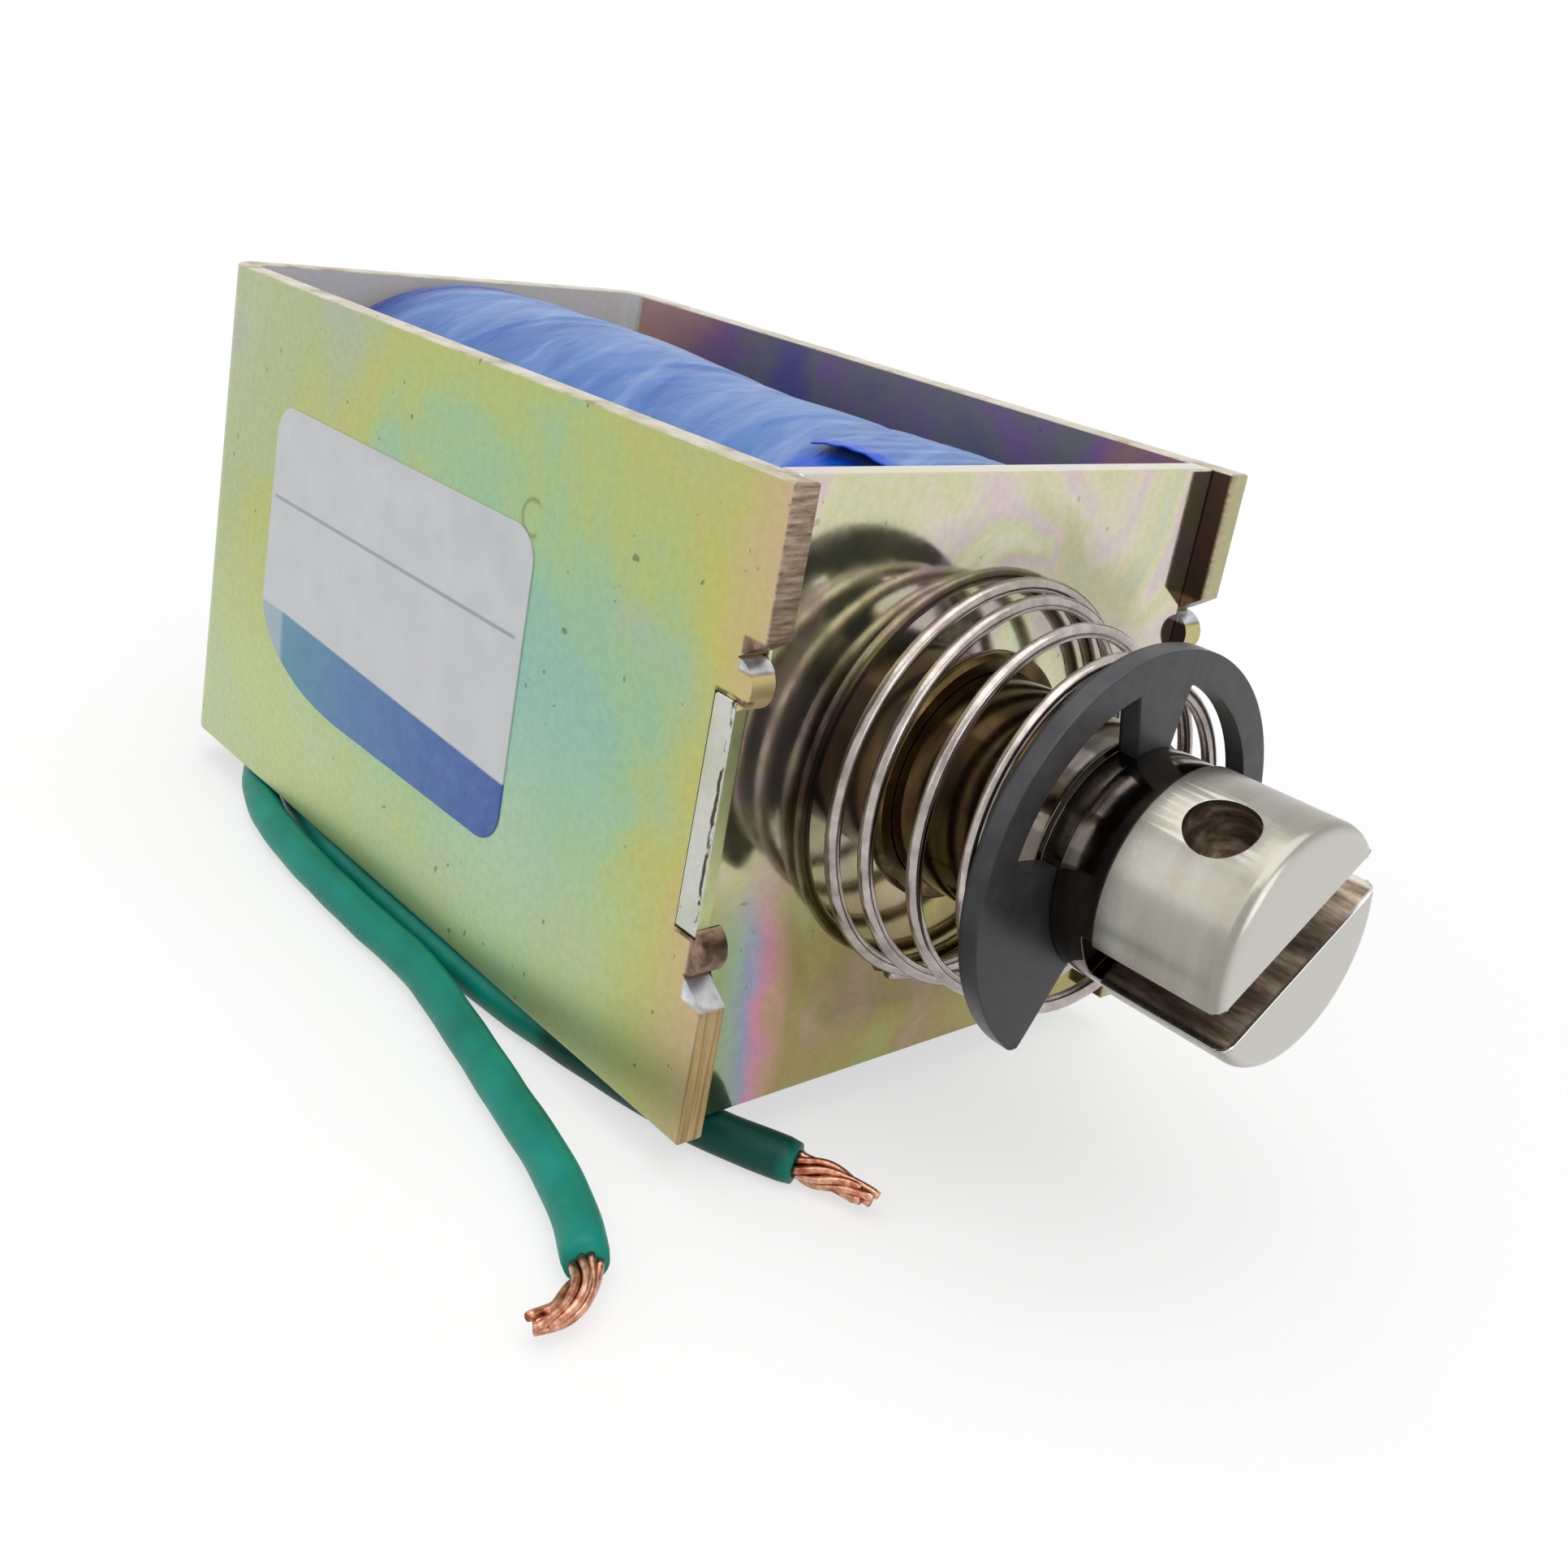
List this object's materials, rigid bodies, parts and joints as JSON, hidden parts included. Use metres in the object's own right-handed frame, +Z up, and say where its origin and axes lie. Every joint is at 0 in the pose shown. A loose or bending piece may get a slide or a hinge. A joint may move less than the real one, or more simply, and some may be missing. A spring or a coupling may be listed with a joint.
{
  "type": "push pull solenoid",
  "caption": "Push pull solenoid: open bent steel frame, taped coil, round forked plunger with cross hole, tapered return spring on an E-ring, rear push rod and two lead wires.",
  "frame": {"origin": "centre of the four tapped holes, on the outer face of the mounting plate", "axes": "+X out of the plunger's nose, +Y out of the mounting plate, +Z up towards the open top of the frame"},
  "size_m": [0.1096, 0.0627, 0.0473],
  "materials": {
    "frame_zinc": "yellow passivated zinc plate, iridescent green, gold and pink",
    "plate_zinc": "pale yellow passivated zinc plate",
    "core_steel": "plated mild steel",
    "brass_sheet": "plain brass",
    "bobbin_nylon": "moulded nylon, natural white",
    "cushion_rubber": "black rubber",
    "copper_wire": "enamelled copper wire",
    "paper": "pale insulating paper",
    "blue_film": "wrinkled blue polyester tape",
    "black_sleeve": "black shrink sleeve",
    "lead_insulation": "teal green PVC, satin",
    "bare_copper": "bare twisted copper strands",
    "label_film": "white film label with a blue band and a grey rule, no lettering",
    "nickel": "satin nickel plate on mild steel",
    "stainless": "stainless steel rod",
    "black_oxide": "black phosphated spring steel",
    "spring_steel": "bright spring steel wire"
  },
  "bodies": {
    "housing": {"u_frame": "frame_zinc", "front_plate": "plate_zinc", "fixed_core": "core_steel", "core_shim": "brass_sheet", "guide_tube": "brass_sheet", "bobbin": "bobbin_nylon", "bobbin_cushion": "cushion_rubber", "winding": "copper_wire", "insulating_paper": "paper", "blue_wrap": "blue_film", "wrap_tail": "blue_film", "splice_sleeve_a": "black_sleeve", "splice_sleeve_b": "black_sleeve", "lead_a": "lead_insulation", "lead_b": "lead_insulation", "lead_a_strands": "bare_copper", "lead_b_strands": "bare_copper", "label": "label_film", "return_spring": "spring_steel"},
    "ring": {"e_ring": "black_oxide"},
    "armature": {"plunger": "nickel", "push_rod": "stainless"}
  },
  "joints": [
    {"name": "plunger_slide", "type": "slide", "parent": "housing", "child": "ring", "axis": [-1, 0, 0], "range_m": [0, 0.008], "stiffness_N_per_m": 600, "springref_m": -0.005, "deforming": ["return_spring"]},
    {"name": "plunger_spin", "type": "hinge", "parent": "ring", "child": "armature", "pos_m": [0.05, -0.0233, 0], "axis": [1, 0, 0], "continuous": true}
  ]
}
